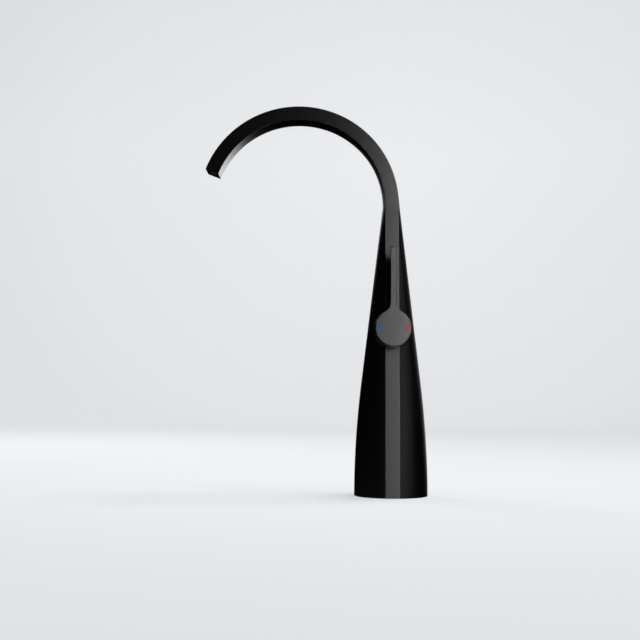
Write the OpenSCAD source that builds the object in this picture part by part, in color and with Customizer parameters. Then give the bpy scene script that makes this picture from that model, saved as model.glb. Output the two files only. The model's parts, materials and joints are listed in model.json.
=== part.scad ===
// Single-lever basin mixer for a raised basin: cone body, ribbon spout and a disc lever on its front.
// X points right, Y points to the back and Z up. The origin is the centre of the base. Millimetres.

/* [Body] */
// Width of the round base
base_w = 58; // [55:1:62]
// Height of the body, where the spout begins
body_h = 230; // [215:1:245]
// Height over which the base flares before the sides run straight
flare_h = 88; // [70:1:110]
// Width of the neck across its rounded sides
neck_w = 13.6; // [12.8:0.2:14.4]
// Depth of the neck and the spout, front to back
neck_d = 21; // [20:0.5:24]
// Width of the flat front strip at the base
strip_base_w = 11; // [9:0.5:14]
// Wall thickness of the body
body_wall = 2.4; // [2:0.1:2.8]
// Width of the pad on the back wall that the valve block is pressed against
pad_w = 10; // [6:0.5:14]

/* [Spout] */
// Radius of the spout's centre line
spout_r = 74.5; // [65:0.5:90]
// Angle through which the spout bends
spout_sweep = 159; // [140:1:170]
// Thickness of the spout ribbon, which is also the width of the front strip there
spout_t = 11; // [10:0.2:11.6]
// Angle over which the rounded inner side of the neck fades into the flat ribbon
inner_fade = 85; // [40:5:110]
// Crown of the ribbon's outer and inner faces
ribbon_crown = 0.1; // [0.05:0.05:0.3]
// Thickness of the channel inside the spout
channel_t = 6.8; // [6.6:0.1:7.4]
// Depth of the channel inside the spout
channel_d = 15; // [13:0.5:16]

/* [Outlet insert] */
// Length of the outlet insert's frame
aerator_l = 8.6; // [7:0.2:11]
// Thickness of the outlet insert's frame
aerator_t = 7; // [6.6:0.1:7.4]
// Width of the outlet insert's frame
aerator_w = 17.4; // [16:0.2:18]
// Wall of the outlet insert's frame
aerator_wall = 0.8; // [0.6:0.1:1]
// Thickness of the outlet grid
grid_t = 1.2; // [0.8:0.1:2]
// Width of each hole in the outlet grid
grid_hole_w = 1.2; // [0.8:0.1:1.3]
// Distance between neighbouring holes in the outlet grid
grid_pitch = 1.7; // [1.5:0.1:2.4]
// Thickness of the seal behind the outlet insert
aerator_seal_t = 1.2; // [0.8:0.1:1.6]

/* [Lever] */
// Height of the lever's axis above the base
valve_z = 131; // [120:1:145]
// Width of the lever's disc
lever_disc_w = 28; // [27:0.5:30]
// Thickness of the disc at its rim
lever_rim_t = 5.5; // [4.5:0.1:7]
// Height of the stem's end above the lever's axis
stem_h = 63; // [45:1:75]
// Width of the stem
stem_w = 4.5; // [4:0.1:6]
// Thickness of the stem
stem_t = 3.2; // [2.5:0.1:4]
// Radius of the hollow corners between the stem and the disc
stem_fillet_r = 9; // [4:0.5:12]
// Chamfer on the stem's end
stem_chamfer = 1.2; // [0.5:0.1:1.6]
// Chamfer round the disc's face
disc_chamfer = 0.4; // [0.2:0.1:0.8]
// Radius of the flat in the middle of the disc's coned back
hub_flat_r = 7; // [6.6:0.1:8]
// Thickness of the disc left in front of the spindle's end
hub_skin = 1.5; // [1:0.1:2]
// Angle that the lever lifts
lift_max = 20; // [15:1:22]
// Angle that the lever turns to each side
turn_max = 45; // [30:1:50]

/* [Temperature marks] */
// Distance of each mark from the lever's axis
mark_offset = 10.7; // [9:0.1:11.2]
// Width of a mark
mark_w = 1.7; // [1:0.1:2.2]
// Height of a mark
mark_h = 6.6; // [5:0.1:8]
// Depth of a mark in the disc
mark_t = 0.6; // [0.4:0.1:1]

/* [Set screw] */
// Width of the set screw
set_screw_w = 4; // [3:0.5:4.5]
// Length of the set screw
set_screw_l = 6; // [4:0.5:8]
// Width of the set screw's hexagon socket across its corners
hex_w = 2.3; // [1.8:0.1:2.4]

/* [Cartridge] */
// Width of the cartridge
cart_w = 24.8; // [24:0.1:25.2]
// Length of the cartridge's case behind its shoulder
cart_l = 17.5; // [17:0.1:18.5]
// Width of the case's front neck
cart_neck_w = 19.2; // [18.6:0.1:19.4]
// Length of the case's front neck
cart_neck_l = 2; // [1.5:0.1:2.5]
// Width of the chamber inside the case
chamber_w = 20; // [19.6:0.1:20.8]
// Thickness of the cartridge's base
cart_base_t = 3; // [2.5:0.1:4]
// Width of the clamping nut, the same as its thread
nut_w = 26.4; // [26.2:0.1:27]
// Thickness of the clamping nut
nut_t = 5; // [4.5:0.1:6]
// Width of the hole in the clamping nut
nut_hole_w = 19.6; // [19.4:0.1:20.4]
// Width of the clamping nut's spanner notches
notch_w = 3; // [2:0.5:4]
// Depth of the notches into the nut's hole
notch_d = 1.4; // [1:0.1:2]
// Width of the bore in the body's boss for the cartridge
boss_bore_w = 25.2; // [25:0.1:25.6]
// Width of the round boss on the body's front
boss_w = 29.6; // [29:0.1:31]
// Least distance that the boss stands out of the front strip at its lowest point
boss_proud = 0.2; // [0.2:0.05:1]
// Length of the boss from its front face
boss_l = 13.6; // [12:0.1:16]

/* [Rotor and spindle] */
// Width of the rotor's head
rotor_head_w = 14.8; // [14.4:0.1:15]
// Width of the rotor's flange
rotor_flange_w = 19.8; // [19:0.1:19.9]
// Thickness of the rotor's flange
rotor_flange_t = 2.7; // [2:0.1:3]
// Width and height of the square spindle
spindle_w = 5; // [4:0.1:5.2]
// Width of the spindle's inner arm
arm_w = 3.2; // [2.6:0.1:3.4]
// Width of the ball on the spindle's inner end
ball_w = 4; // [3.6:0.1:4.2]
// Distance from the hinge pin to the ball's centre
arm_l = 8; // [7.6:0.1:8.2]
// Distance of the hinge pin behind the case's shoulder
pin_setback = 1; // [0.6:0.1:1.4]
// Width of the hinge pin
pin_w = 2.4; // [2:0.1:3]
// Thickness of the turn stop ring
stop_ring_t = 1.9; // [1.4:0.1:2.2]
// Width of the stop lug on the rotor
lug_w = 3; // [2:0.1:4]
// Play of the lug at each end of its window, in degrees
stop_play = 1; // [0.5:0.5:2]
// Thickness of the O-ring round the rotor
o_ring_w = 1.2; // [1:0.1:1.4]
// Distance of that O-ring behind the case's front
o_ring_setback = 0.9; // [0.8:0.1:1]

/* [Ceramic discs] */
// Thickness of the moving disc
moving_disc_t = 2.5; // [2.2:0.1:2.8]
// Width of the moving disc
moving_disc_w = 16; // [15.6:0.1:16.4]
// Thickness of the fixed disc
fixed_disc_t = 3.1; // [2.6:0.1:3.4]
// Thickness of the disc carrier
carrier_t = 5.4; // [5:0.1:5.6]
// Width of the disc carrier
carrier_w = 16.6; // [16.2:0.1:16.8]
// Sideways distance of the two inlet ports from the cartridge's axis
port_x = 4.2; // [3.8:0.1:4.6]
// Distance of the inlet ports above the cartridge's axis
port_up = 2.6; // [2.4:0.1:3]
// Distance of the outlet port below the cartridge's axis
port_down = 4; // [3.6:0.1:4.4]
// Width of an inlet port
inlet_port_w = 3.6; // [3:0.1:4]
// Width of the outlet port
outlet_port_w = 4.4; // [3.6:0.1:4.8]
// Rim of the moving disc round its pocket
pocket_rim = 1.1; // [1:0.1:1.4]
// Thickness left between the pocket and the key holes
pocket_floor = 0.3; // [0.3:0.1:0.6]
// Height by which the pocket stays below the inlet ports while the lever is down
shut_lap = 0.5; // [0.3:0.1:0.8]
// Sideways distance of the carrier's two keys from its middle
key_x = 6.2; // [5.8:0.1:6.4]
// Distance of the keys above the carrier's middle
key_up = 2.8; // [2:0.1:3]
// Width of a key
key_w = 1.4; // [1:0.1:1.6]
// Length of a key
key_l = 0.8; // [0.6:0.1:1]
// Sideways distance of the locating pins from the cartridge's axis
locate_x = 7.6; // [7:0.1:8]
// Distance of the locating pins below the cartridge's axis
locate_down = 5.4; // [5:0.1:6]
// Width of a locating pin
locate_w = 2; // [1.6:0.1:2.2]
// Length of a locating pin
locate_l = 2; // [1.5:0.1:2.5]
// Width of the seal round each port
seal_w = 1.4; // [1:0.1:1.4]
// Thickness of the port seals
seal_t = 1; // [0.8:0.1:1.4]

/* [Bonnet] */
// Radius of the bonnet's dome about the hinge pin
dome_r = 11.6; // [11.2:0.1:11.9]
// Thickness of the bonnet's wall
bonnet_t = 0.8; // [0.6:0.1:1]
// Width of the hole in the bonnet for the spindle
bonnet_hole_w = 14.4; // [14:0.1:15]

/* [Valve block and tubes] */
// Depth of the valve block, front to back
block_d = 8.4; // [8:0.1:9]
// Width of the valve block
block_w = 21.4; // [20.6:0.1:21.8]
// Distance from the lever's axis down to the valve block's lower face
block_drop = 16; // [14:0.5:20]
// Height of the outlet collar's end above the lever's axis
collar_h = 22; // [21:0.5:26]
// Width of the outlet collar
collar_w = 11; // [10.4:0.1:12]
// Outer width of the riser tubes
riser_w = 6.4; // [6:0.1:6.8]
// Wall of the riser tubes
riser_wall = 0.8; // [0.6:0.1:1]
// Sideways distance of the riser tubes and inlets from the middle
inlet_x = 6.6; // [6.4:0.1:7]
// Outer width of the outlet tube
outlet_w = 6; // [5.6:0.1:6.2]
// Wall of the outlet tube
outlet_wall = 0.8; // [0.6:0.1:1]
// Bend radius of the outlet tube below the neck
tube_bend_r = 25; // [18:1:32]
// Depth of each tube's end in its socket
socket_d = 6; // [4:0.5:8]
// Straight length of the outlet tube between its collar and its first bend
tube_rise = 2; // [1:0.5:5]
// Thickness of the outlet tube's O-rings
tube_ring_w = 1.2; // [1:0.1:1.4]
// Distance between those O-rings
tube_ring_step = 3.4; // [3:0.1:4]

/* [Foot] */
// Thickness of the foot insert
foot_t = 12; // [10:0.5:16]
// Width of the foot insert
foot_w = 52.6; // [49.6:0.1:52.8]
// Tapping width of the two hose inlets
inlet_w = 9; // [8.8:0.1:9.2]
// Depth of the hose inlets' thread
inlet_l = 8.5; // [7:0.5:9]
// Thickness left between each inlet and the socket of its riser tube
foot_web = 1; // [0.5:0.5:2]
// Tapping width of the stud hole
stud_w = 6.8; // [5:0.1:8.5]
// Distance of the stud hole in front of the middle
stud_y = 9; // [8:0.5:11]
// Thickness of the ledge in the body that carries the foot insert
ledge_t = 5; // [4:0.5:8]
// Width of the opening in the ledge
ledge_hole_w = 34; // [33.6:0.1:35]
// Radius of the circle of foot screws
foot_screw_r = 20; // [19.6:0.1:20.4]
// Number of foot screws
foot_screw_n = 3; // [3:1:6]
// Width of a foot screw's thread
foot_screw_w = 3; // [2.5:0.5:3]
// Width of a foot screw's head
foot_head_w = 5.4; // [4.8:0.1:5.6]
// Height of a foot screw's head
foot_head_h = 2.6; // [2:0.1:3]
// Depth of the foot screws' heads below the base face
foot_head_sink = 3; // [2.8:0.1:4]
// Inner width of the base gasket
gasket_in_w = 46.6; // [46:0.1:47]
// Outer width of the base gasket
gasket_out_w = 50.6; // [49.6:0.1:51]
// Thickness of the base gasket
gasket_t = 1.8; // [1.2:0.1:2.5]

/* [Clearances] */
// Radial clearance of turning and sliding fits
run_gap = 0.05; // [0.02:0.01:0.1]
// Gap between pieces that are pushed or laid together
fit_gap = 0.1; // [0.05:0.01:0.15]
// Gap round the moving spindle and the ball
swing_gap = 0.2; // [0.15:0.01:0.25]
// Gap between the lever and the body at full lift
lever_gap = 0.5; // [0.3:0.1:0.8]

/* [Hidden] */
$fn = 64;

// Rings and points of the body's and the spout's skins
BODY_RINGS = 22;
SIDE_POINTS = 22;
SPOUT_RINGS = 44;
SPOUT_POINTS = 8;
INNER_RINGS = 10;
INNER_POINTS = 12;
// Sides of the outlet tube, and its rings in each bend below the neck and in the spout
TUBE_SIDES = 12;
BEND_RINGS = 5;
TUBE_RINGS = 30;
// Angle that spaces the side points closer together near the strip
SPREAD = 79;
// Overlap of cutting solids beyond the faces that they cut
cut = 1;
// Depth by which round shapes that blend reach into each other
weld = 0.05;

base_r = base_w / 2;
strip_r = strip_base_w / 2;
ribbon_r = spout_t / 2;
base_half_d = sqrt(base_r * base_r - strip_r * strip_r);
// Sideways slope of the straight part of the body
slope = (base_r - neck_w / 2) / (body_h - flare_h / 2);

// Half width, half depth and half strip width of the body at height z
function half_w(z) = z < flare_h
    ? base_r - slope * z * z / (2 * flare_h)
    : base_r - slope * (z - flare_h / 2);
function half_d(z) = neck_d / 2
    + (base_half_d - neck_d / 2) * (half_w(z) - neck_w / 2) / (base_r - neck_w / 2);
function half_strip(z) = strip_r + (ribbon_r - strip_r) * z / body_h;

// Closed outline with flats of half width e at the front and back, and rounded sides that reach out to
// the half widths right and left
function outline(right, left, d, e, n) = [
    for (side = [1, -1])
        for (i = [0:n])
            let (w = side > 0 ? right : left, v = side * sin(SPREAD * (2 * i / n - 1)) / sin(SPREAD))
            [side * sqrt(max(w * w - v * v * (w * w - e * e), 0)), d * v]
];

// Solid skinned over rings of points, each listed anticlockwise seen from the far end
module skin(rings) {
    n = len(rings[0]);
    m = len(rings);
    polyhedron(
        points = [for (ring = rings) for (p = ring) p],
        faces = concat(
            [[for (i = [0:n - 1]) i]],
            [[for (i = [n - 1:-1:0]) (m - 1) * n + i]],
            [for (k = [0:m - 2]) for (i = [0:n - 1])
                [k * n + i, (k + 1) * n + i, (k + 1) * n + (i + 1) % n]],
            [for (k = [0:m - 2]) for (i = [0:n - 1])
                [k * n + i, (k + 1) * n + (i + 1) % n, k * n + (i + 1) % n]]
        )
    );
}

// Distances along the valve's axis are counted outwards from the body's centre, towards the user
boss_r = boss_w / 2;
boss_out = ceil(10 * (half_d(valve_z - boss_r) + boss_proud)) / 10;
nut_out = boss_out - fit_gap;
shoulder_out = nut_out - nut_t;
cart_front = shoulder_out + cart_neck_l;
cart_back = shoulder_out - cart_l;
block_front = cart_back - cart_base_t;
block_back = block_front - block_d;
pin_out = shoulder_out - pin_setback;
fixed_front = cart_back + fixed_disc_t;
moving_front = fixed_front + moving_disc_t;
carrier_front = moving_front + carrier_t;
rotor_back = carrier_front + 3 * fit_gap;
flange_front = rotor_back + rotor_flange_t;
rotor_front = cart_front + stop_ring_t + fit_gap;
ball_out = pin_out - arm_l;
bonnet_front = boss_out + bonnet_t;
disc_r = lever_disc_w / 2;
// The back of the disc's rim, set so that its lowest point just clears the bonnet at full lift
rim_out = pin_out
    + (bonnet_front + lever_gap - pin_out + disc_r * sin(lift_max)) / cos(lift_max);
lever_out = rim_out + lever_rim_t;
// Hollow that clears the dome, and the front of the disc's coned back
hollow_r = dome_r + 2 * swing_gap;
cone_out = rim_out - (disc_r - hub_flat_r) * tan(lift_max);
spindle_out = lever_out - hub_skin;
// Height that the ball travels, and the carrier's place at rest, half of that below the axis
travel = arm_l * sin(lift_max);
carrier_low = -travel / 2;
// Riser tubes, block and inlets share this distance behind the middle
tube_y = -(block_front + block_back) / 2;

// Local frame on the valve's axis: X right, Y up, Z outwards
module at_valve() {
    translate([0, 0, valve_z]) rotate([90, 0, 0]) children();
}

// Cylinder on the valve's axis between two distances
module valve_rod(w, from, to) {
    translate([0, 0, from]) cylinder(d = w, h = to - from);
}

// Local frame on the spout's centre line: X away from the bend's centre, Z along the water's way
module at_bend(angle) {
    translate([-spout_r, 0, body_h]) rotate([0, -angle, 0]) translate([spout_r, 0, 0]) children();
}

// Point beside the spout's centre line at an angle of the bend, p[0] outwards and p[1] to the back
function on_bend(p, angle) = [
    -spout_r + (spout_r + p[0]) * cos(angle), p[1], body_h + (spout_r + p[0]) * sin(angle)];

module body_skin(inset, from, to, rings, n) {
    skin([
        for (k = [0:rings])
            let (z = from + (to - from) * k / rings, w = half_w(z) - inset)
            [for (p = outline(w, w, half_d(z) - inset, half_strip(z) - inset, n)) [p[0], p[1], z]]
    ]);
}

module body_shell() {
    color("#141415") difference() {
        union() {
            difference() {
                body_skin(0, 0, body_h, BODY_RINGS, SIDE_POINTS);
                body_skin(body_wall, foot_t, body_h + cut, INNER_RINGS, INNER_POINTS);
            }
            at_valve() valve_rod(boss_w, boss_out - boss_l, boss_out);
            back_pad();
            foot_ledge();
        }
        at_valve() {
            valve_rod(boss_bore_w, boss_out - boss_l - cut, boss_out + cut);
            valve_rod(nut_w + 2 * run_gap, shoulder_out, boss_out + cut);
        }
        translate([0, 0, -cut]) cylinder(d = foot_w + 2 * fit_gap, h = foot_t + cut);
        foot_screw_places() cylinder(d = foot_screw_w, h = foot_t + ledge_t + cut);
    }
}

module back_pad() {
    at_valve() valve_rod(pad_w, -half_d(valve_z + pad_w / 2) + body_wall / 2, block_back - run_gap);
}

module foot_ledge() {
    translate([0, 0, foot_t]) difference() {
        cylinder(r = half_w(foot_t + ledge_t) - body_wall / 2, h = ledge_t);
        translate([0, 0, -cut]) cylinder(d = ledge_hole_w, h = ledge_t + 2 * cut);
    }
}

module foot_screw_places() {
    for (i = [0:foot_screw_n - 1])
        rotate([0, 0, -90 + i * 360 / foot_screw_n]) translate([foot_screw_r, 0, 0]) children();
}

// The spout's outer side carries the body's slope on until the neck's roundness is used up
neck_bulge = neck_w / 2 - ribbon_r;
outer_fade = 2 * neck_bulge / (slope * spout_r) * 180 / PI;

// Half thickness of the spout on its outer and inner side at an angle of the bend
function outer_half(angle) = ribbon_r
    + max(neck_bulge * pow(max(1 - angle / outer_fade, 0), 2), ribbon_crown);
function inner_half(angle) = ribbon_r
    + max(angle < inner_fade ? neck_bulge * pow(cos(90 * angle / inner_fade), 2) : 0, ribbon_crown);

module spout_skin() {
    skin([
        for (k = [0:SPOUT_RINGS])
            let (a = spout_sweep * k / SPOUT_RINGS)
            [for (p = outline(outer_half(a), inner_half(a), neck_d / 2, ribbon_r, SPOUT_POINTS))
                on_bend(p, a)]
    ]);
}

// Water channel, which runs a little past both ends of the spout
module spout_channel() {
    skin([
        for (k = [-1:SPOUT_RINGS + 1])
            [for (p = [[1, -1], [1, 1], [-1, 1], [-1, -1]])
                on_bend([p[0] * channel_t / 2, p[1] * channel_d / 2], spout_sweep * k / SPOUT_RINGS)]
    ]);
}

// The outlet insert lies square to the bend's line half way along its length
aerator_angle = spout_sweep - (aerator_l + aerator_seal_t) / 2 / spout_r * 180 / PI;
aerator_end = aerator_l / 2 - fit_gap;
aerator_start = aerator_end - aerator_l;
pocket_start = aerator_start - aerator_seal_t;
tube_end_angle = aerator_angle + (aerator_start + aerator_wall / 2) / spout_r * 180 / PI;

module spout_shell() {
    color("#141415") difference() {
        spout_skin();
        spout_channel();
        at_bend(aerator_angle)
            translate([0, 0, pocket_start + aerator_l])
                cube([aerator_t + 2 * fit_gap, aerator_w + 2 * fit_gap, 2 * aerator_l], center = true);
    }
}

module aerator_frame() {
    color("#2b2c2e") at_bend(aerator_angle) difference() {
        translate([0, 0, aerator_start + aerator_l / 2])
            cube([aerator_t, aerator_w, aerator_l], center = true);
        translate([0, 0, aerator_start + 2 * aerator_wall + aerator_l / 2])
            cube([aerator_t - 2 * aerator_wall, aerator_w - 2 * aerator_wall, aerator_l], center = true);
        translate([0, 0, aerator_start - cut]) cylinder(d = outlet_w + 4 * swing_gap, h = cut + aerator_wall);
        translate([0, 0, aerator_start - cut])
            cylinder(d = outlet_w - 2 * outlet_wall, h = 3 * cut + aerator_wall);
    }
}

module aerator_grid() {
    grid_w = aerator_w - 2 * aerator_wall - 2 * run_gap;
    grid_h = aerator_t - 2 * aerator_wall - 2 * run_gap;
    across = floor(grid_w / grid_pitch);
    up = floor(grid_h / grid_pitch);
    color("#5c5e61") at_bend(aerator_angle) translate([0, 0, aerator_end - 2 * grid_t]) difference() {
        translate([0, 0, grid_t / 2]) cube([grid_h, grid_w, grid_t], center = true);
        for (i = [1:up])
            for (j = [1:across])
                translate([(i - (up + 1) / 2) * grid_pitch, (j - (across + 1) / 2) * grid_pitch, -cut])
                    cylinder(d = grid_hole_w, h = grid_t + 2 * cut, $fn = 24);
    }
}

module aerator_seal() {
    color("#1b1b1b") at_bend(aerator_angle) translate([0, 0, pocket_start]) difference() {
        translate([0, 0, aerator_seal_t / 2])
            cube([aerator_t, aerator_w, aerator_seal_t], center = true);
        translate([0, 0, -cut]) cylinder(d = outlet_w + 4 * swing_gap, h = aerator_seal_t + 2 * cut);
    }
}

module lever_handle() {
    // Centre of each hollow corner's circle, which cuts a little into the disc and the stem's side
    fillet_x = stem_w / 2 + stem_fillet_r - weld;
    fillet_y = sqrt(pow(disc_r + stem_fillet_r - weld, 2) - fillet_x * fillet_x);
    touch = disc_r / (disc_r + stem_fillet_r - weld);
    color("#161617") at_valve() difference() {
        union() {
            rotate_extrude() polygon([
                [0, cone_out], [hub_flat_r, cone_out], [disc_r, rim_out], [disc_r, lever_out - disc_chamfer],
                [disc_r - disc_chamfer, lever_out], [0, lever_out],
            ]);
            translate([0, 0, lever_out - stem_t]) linear_extrude(stem_t) difference() {
                polygon([
                    for (side = [1, -1]) each side > 0
                        ? [[fillet_x * touch, fillet_y * touch], [stem_w / 2, fillet_y]]
                        : [[-stem_w / 2, fillet_y], [-fillet_x * touch, fillet_y * touch]]
                ]);
                for (side = [1, -1]) translate([side * fillet_x, fillet_y]) circle(stem_fillet_r);
            }
            translate([0, fillet_y * touch - cut, lever_out - stem_t]) rotate([90, 0, 90])
                translate([0, 0, -stem_w / 2]) linear_extrude(stem_w) stem_side(fillet_y * touch - cut);
        }
        translate([0, 0, pin_out]) sphere(hollow_r);
        translate([0, 0, spindle_out / 2]) cube(
            [spindle_w + 2 * run_gap, spindle_w + 2 * run_gap, spindle_out + 2 * run_gap], center = true);
        translate([0, 0, set_screw_out]) rotate([90, 0, 0])
            cylinder(d = set_screw_w + 2 * run_gap, h = disc_r + cut);
        for (side = [1, -1]) mark(side, run_gap);
    }
}

// Side view of the stem, with the chamfer on its end
module stem_side(from) {
    h = stem_h - from;
    polygon([[0, 0], [h, 0], [h, stem_t - stem_chamfer], [h - stem_chamfer, stem_t], [0, stem_t]]);
}

// Rounded bar on one side of the disc's face, grown by a gap
module mark(side, gap) {
    r = mark_w / 2 + gap;
    y = mark_h / 2 - mark_w / 2;
    translate([side * mark_offset, 0, lever_out - mark_t]) {
        for (end = [1, -1]) translate([0, end * y, 0]) cylinder(r = r, h = mark_t + (gap > 0 ? cut : 0));
        translate([-r, -y, 0]) cube([2 * r, 2 * y, mark_t + (gap > 0 ? cut : 0)]);
    }
}

module cold_mark() {
    color("#2b5289") at_valve() mark(-1, 0);
}

module hot_mark() {
    color("#a33f42") at_valve() mark(1, 0);
}

// The set screw lies in the middle of the disc's rim
set_screw_out = (lever_out + rim_out) / 2;

module handle_set_screw() {
    color("#8d8f92") at_valve() translate([0, -spindle_w / 2 - run_gap, set_screw_out]) rotate([90, 0, 0])
        difference() {
            cylinder(d = set_screw_w, h = set_screw_l);
            translate([0, 0, set_screw_l / 2]) cylinder(d = hex_w, h = set_screw_l, $fn = 6);
        }
}

module spindle() {
    half = spindle_w / 2;
    color("#a9abae") at_valve() difference() {
        union() {
            translate([-half, -half, pin_out - half])
                cube([spindle_w, spindle_w, spindle_out - pin_out + half]);
            valve_rod(arm_w, ball_out, pin_out);
            translate([0, 0, ball_out]) sphere(d = ball_w);
        }
        translate([-spindle_w, 0, pin_out]) rotate([0, 90, 0])
            cylinder(d = pin_w + 2 * run_gap, h = 2 * spindle_w);
    }
}

pin_half = rotor_head_w / 2 - 2 * fit_gap;

module spindle_pin() {
    color("#c4c6c9") at_valve() translate([-pin_half, 0, pin_out]) rotate([0, 90, 0])
        cylinder(d = pin_w, h = 2 * pin_half);
}

// Sideways section of the room that the spindle needs between rest and full lift
module swing_room() {
    reach = rotor_front + cut - pin_out;
    back = pin_out - rotor_back + cut;
    half = spindle_w / 2 + swing_gap;
    arm = arm_w / 2 + swing_gap;
    ball = ball_w / 2 + swing_gap;
    circle(r = spindle_w / 2 * sqrt(2) + swing_gap);
    polygon([[half, 0], [half, reach], [-reach * tan(lift_max) - half / cos(lift_max), reach],
        [-half / cos(lift_max), 0]]);
    polygon([[-ball, 0], [ball, 0], [back * tan(lift_max) + ball / cos(lift_max), -back],
        [-arm, -back]]);
}

module rotor() {
    slot_w = spindle_w + 2 * swing_gap;
    color("#d9d4c6") at_valve() difference() {
        union() {
            valve_rod(rotor_flange_w, rotor_back, flange_front);
            valve_rod(rotor_head_w, rotor_back, rotor_front);
            translate([-lug_w / 2, 0, cart_front + fit_gap])
                cube([lug_w, lug_reach, stop_ring_t]);
        }
        translate([-slot_w / 2, 0, pin_out]) rotate([90, 0, 90]) linear_extrude(slot_w) swing_room();
        translate([-rotor_head_w, 0, pin_out]) rotate([0, 90, 0]) cylinder(d = pin_w, h = 2 * rotor_head_w);
        o_ring_groove();
    }
}

// O-ring between the rotor's head and the case
o_ring_out = cart_front - o_ring_setback;
o_ring_r = rotor_head_w / 2 + run_gap - o_ring_w / 2;

module o_ring_groove() {
    translate([0, 0, o_ring_out]) difference() {
        cylinder(d = rotor_head_w + cut, h = o_ring_w + fit_gap, center = true);
        cylinder(r = o_ring_r - o_ring_w / 2, h = 2 * o_ring_w, center = true);
    }
}

module rotor_o_ring() {
    color("#1b1b1b") at_valve() translate([0, 0, o_ring_out]) rotate_extrude()
        translate([o_ring_r, 0]) circle(d = o_ring_w - run_gap / 2, $fn = 32);
}

stop_ring_r = nut_hole_w / 2 - 2 * fit_gap;
lug_reach = stop_ring_r - 2 * fit_gap;

module stop_ring() {
    // Half angle of the window in which the rotor's lug moves
    window = turn_max + asin(lug_w / rotor_head_w) + stop_play;
    far = 3 * stop_ring_r;
    color("#b7352f") at_valve() translate([0, 0, cart_front]) difference() {
        cylinder(r = stop_ring_r, h = stop_ring_t);
        translate([0, 0, -cut]) cylinder(d = rotor_head_w + 2 * fit_gap, h = stop_ring_t + 2 * cut);
        translate([0, 0, -cut]) linear_extrude(stop_ring_t + 2 * cut) polygon([
            [0, 0], [far * sin(window), far * cos(window)], [far, far],
            [-far, far], [-far * sin(window), far * cos(window)],
        ]);
    }
}

module cartridge_bonnet() {
    color("#141415") at_valve() difference() {
        union() {
            valve_rod(boss_w - 2 * fit_gap, boss_out, bonnet_front);
            intersection() {
                translate([0, 0, pin_out]) sphere(dome_r);
                valve_rod(boss_w - 2 * fit_gap, boss_out, pin_out + dome_r + cut);
            }
        }
        translate([0, 0, pin_out]) sphere(dome_r - bonnet_t);
        valve_rod(bonnet_hole_w, boss_out - cut, pin_out + dome_r + cut);
    }
}

module cartridge_nut() {
    color("#b08d4a") at_valve() difference() {
        valve_rod(nut_w, shoulder_out, nut_out);
        valve_rod(nut_hole_w, shoulder_out - cut, nut_out + cut);
        for (i = [0:3]) rotate([0, 0, 45 + 90 * i])
            translate([nut_hole_w / 2 - cut, -notch_w / 2, nut_out - nut_t / 2])
                cube([notch_d + cut, notch_w, nut_t]);
    }
}

module cartridge_housing() {
    color("#e4e2da") at_valve() difference() {
        union() {
            valve_rod(cart_w, cart_back, shoulder_out);
            valve_rod(cart_neck_w, shoulder_out - cut, cart_front);
        }
        valve_rod(chamber_w, cart_back - cut, flange_front + run_gap);
        valve_rod(rotor_head_w + 2 * run_gap, cart_back, cart_front + cut);
    }
}

// The keys under the carrier drive the moving disc
module disc_carrier() {
    color("#c9b27a") at_valve() translate([0, carrier_low, 0]) {
        difference() {
            valve_rod(carrier_w, moving_front, carrier_front);
            translate([0, -carrier_low, 0]) ball_socket();
        }
        for (side = [1, -1]) translate([side * key_x, key_up, moving_front - key_l])
            cylinder(d = key_w, h = 2 * key_l);
    }
}

// Hole for the spindle's ball, whose centre is on the valve's axis at rest, with room for the leaning arm
module ball_socket() {
    half = arm_w / 2 + swing_gap;
    reach = carrier_front + cut - ball_out;
    valve_rod(ball_w + 2 * swing_gap, ball_out - ball_w / 2 - swing_gap, carrier_front + cut);
    translate([-half, 0, ball_out]) rotate([90, 0, 90]) linear_extrude(2 * half) polygon([
        [-half / cos(lift_max), 0], [half, 0], [half, reach],
        [-reach * tan(lift_max) - half / cos(lift_max), reach],
    ]);
}

module moving_disc() {
    pocket_w = moving_disc_w - 2 * pocket_rim;
    pocket_t = moving_disc_t - key_l - pocket_floor;
    // The pocket ends just below the inlet ports while the lever is down
    pocket_top = port_up - inlet_port_w / 2 - carrier_low - shut_lap;
    color("#f1efe9") at_valve() translate([0, carrier_low, 0]) difference() {
        valve_rod(moving_disc_w, fixed_front, moving_front);
        intersection() {
            valve_rod(pocket_w, fixed_front - cut, fixed_front + pocket_t);
            translate([-moving_disc_w, pocket_top - 2 * moving_disc_w, fixed_front - 2 * cut])
                cube([2 * moving_disc_w, 2 * moving_disc_w, pocket_t + 4 * cut]);
        }
        for (side = [1, -1]) translate([side * key_x, key_up, moving_front - key_l])
            cylinder(d = key_w + 2 * run_gap, h = key_l + cut);
    }
}

// The three water ports, at one distance after another through the discs, base and block
module ports(from, to, grow) {
    for (side = [1, -1]) translate([side * port_x, port_up, 0]) valve_rod(inlet_port_w + grow, from, to);
    translate([0, -port_down, 0]) valve_rod(outlet_port_w + grow, from, to);
}

module fixed_disc() {
    color("#f1efe9") at_valve() difference() {
        valve_rod(chamber_w - 2 * fit_gap, cart_back, fixed_front);
        ports(cart_back - cut, fixed_front + cut, 0);
    }
}

// Places of the locating pins under the cartridge
module locating_places(gap) {
    for (side = [1, -1]) translate([side * locate_x, -locate_down, block_front - locate_l - gap])
        cylinder(d = locate_w + gap, h = locate_l + gap + (gap > 0 ? cut : fit_gap));
}

module cartridge_base() {
    color("#cfcabb") at_valve() {
        difference() {
            valve_rod(cart_w, block_front, cart_back);
            ports(block_front - cut, cart_back + cut, 0);
            ports(block_front - cut, block_front + seal_t, 2 * seal_w);
        }
        locating_places(0);
    }
}

module cartridge_seals() {
    color("#1b1b1b") at_valve() difference() {
        ports(block_front, block_front + seal_t, 2 * seal_w - 2 * run_gap);
        ports(block_front - cut, block_front + seal_t + cut, 0);
    }
}

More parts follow.
